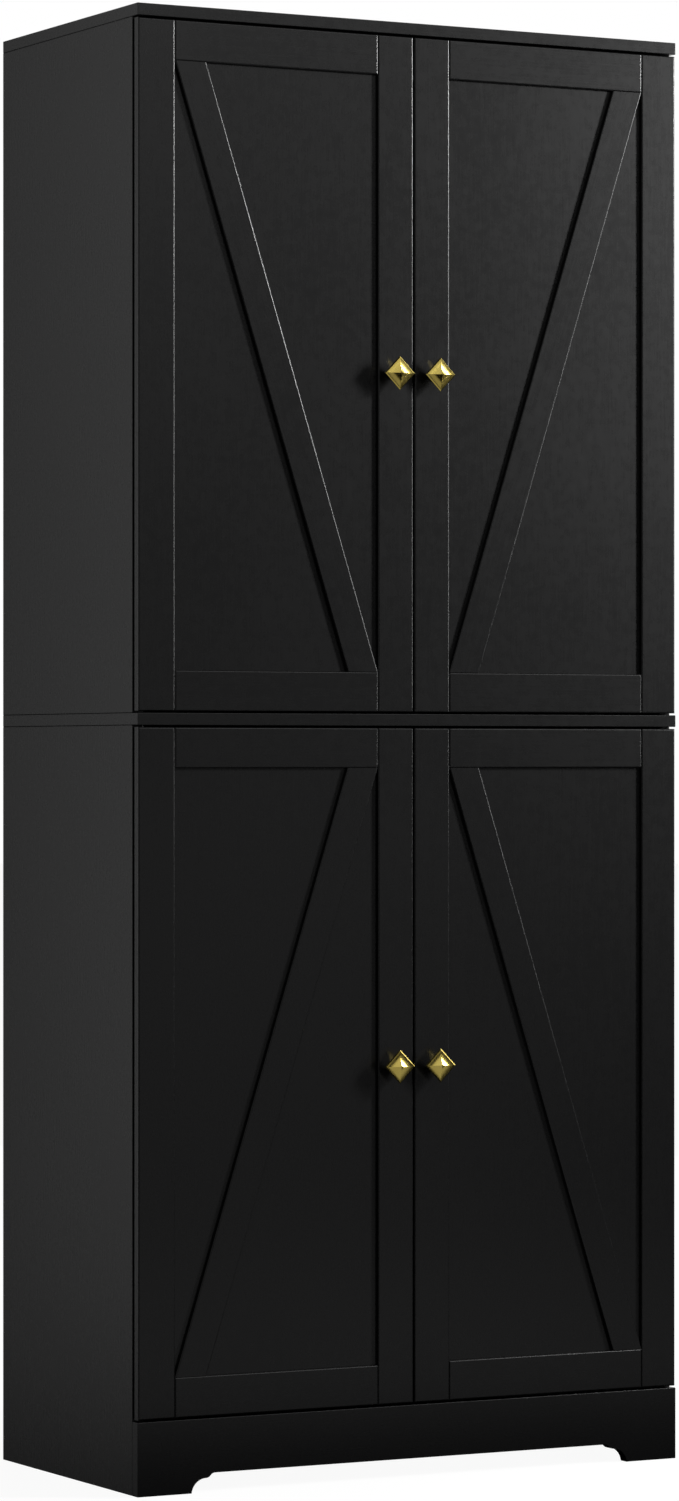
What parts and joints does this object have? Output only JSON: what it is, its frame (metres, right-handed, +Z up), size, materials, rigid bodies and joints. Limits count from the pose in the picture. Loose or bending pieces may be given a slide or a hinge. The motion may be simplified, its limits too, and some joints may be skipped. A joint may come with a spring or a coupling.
{
  "type": "pantry cabinet",
  "caption": "Tall freestanding pantry cabinet with two shelved bays, framed doors with diagonal braces, square pyramid knobs and an ogee-footed base skirt",
  "frame": {"origin": "on the floor, at the middle of the bounding box with the knobs included", "axes": "+X to the right of a person facing the doors, +Y from the doors to the back, +Z up"},
  "size_m": [0.77, 0.417, 1.823],
  "materials": {
    "board_finish": "satin black foil over board",
    "door_finish": "satin black foil over fibreboard",
    "back_finish": "thin black-faced fibreboard",
    "brass": "polished",
    "steel": "nickel plated",
    "zinc": "die-cast zinc",
    "dowel_wood": "bare beech"
  },
  "bodies": {
    "carcass": {"top_board": "board_finish", "middle_board": "board_finish", "bottom_board": "board_finish", "upper_left_side": "board_finish", "upper_right_side": "board_finish", "lower_left_side": "board_finish", "lower_right_side": "board_finish", "base_skirt": "board_finish", "rear_base_rail": "board_finish", "upper_shelf_low": "board_finish", "upper_shelf_high": "board_finish", "lower_shelf_low": "board_finish", "lower_shelf_high": "board_finish", "upper_back_panel": "back_finish", "lower_back_panel": "back_finish", "shelf_pegs": "zinc", "hinge_plates": "steel", "hinge_arms": "steel", "hinge_pins": "steel", "wood_screws": "steel", "cam_locks": "zinc", "cam_bolts": "steel", "dowels": "dowel_wood", "wall_brackets": "steel"},
    "upper_left_door": {"upper_left_door_panel": "door_finish", "upper_left_hinge_stile": "door_finish", "upper_left_meeting_stile": "door_finish", "upper_left_top_rail": "door_finish", "upper_left_bottom_rail": "door_finish", "upper_left_brace": "door_finish", "upper_left_knob": "brass", "upper_left_knob_screw": "steel", "upper_left_hinge_cups": "steel"},
    "upper_right_door": {"upper_right_door_panel": "door_finish", "upper_right_hinge_stile": "door_finish", "upper_right_meeting_stile": "door_finish", "upper_right_top_rail": "door_finish", "upper_right_bottom_rail": "door_finish", "upper_right_brace": "door_finish", "upper_right_knob": "brass", "upper_right_knob_screw": "steel", "upper_right_hinge_cups": "steel"},
    "lower_left_door": {"lower_left_door_panel": "door_finish", "lower_left_hinge_stile": "door_finish", "lower_left_meeting_stile": "door_finish", "lower_left_top_rail": "door_finish", "lower_left_bottom_rail": "door_finish", "lower_left_brace": "door_finish", "lower_left_knob": "brass", "lower_left_knob_screw": "steel", "lower_left_hinge_cups": "steel"},
    "lower_right_door": {"lower_right_door_panel": "door_finish", "lower_right_hinge_stile": "door_finish", "lower_right_meeting_stile": "door_finish", "lower_right_top_rail": "door_finish", "lower_right_bottom_rail": "door_finish", "lower_right_brace": "door_finish", "lower_right_knob": "brass", "lower_right_knob_screw": "steel", "lower_right_hinge_cups": "steel"}
  },
  "joints": [
    {"name": "upper_left_door_hinge", "type": "hinge", "parent": "carcass", "child": "upper_left_door", "pos_m": [-0.377, -0.1815, 1.3825], "axis": [0, 0, -1], "range_deg": [0, 95]},
    {"name": "upper_right_door_hinge", "type": "hinge", "parent": "carcass", "child": "upper_right_door", "pos_m": [0.377, -0.1815, 1.3825], "axis": [0, 0, 1], "range_deg": [0, 95]},
    {"name": "lower_left_door_hinge", "type": "hinge", "parent": "carcass", "child": "lower_left_door", "pos_m": [-0.377, -0.1815, 0.5165], "axis": [0, 0, -1], "range_deg": [0, 95]},
    {"name": "lower_right_door_hinge", "type": "hinge", "parent": "carcass", "child": "lower_right_door", "pos_m": [0.377, -0.1815, 0.5165], "axis": [0, 0, 1], "range_deg": [0, 95]}
  ]
}
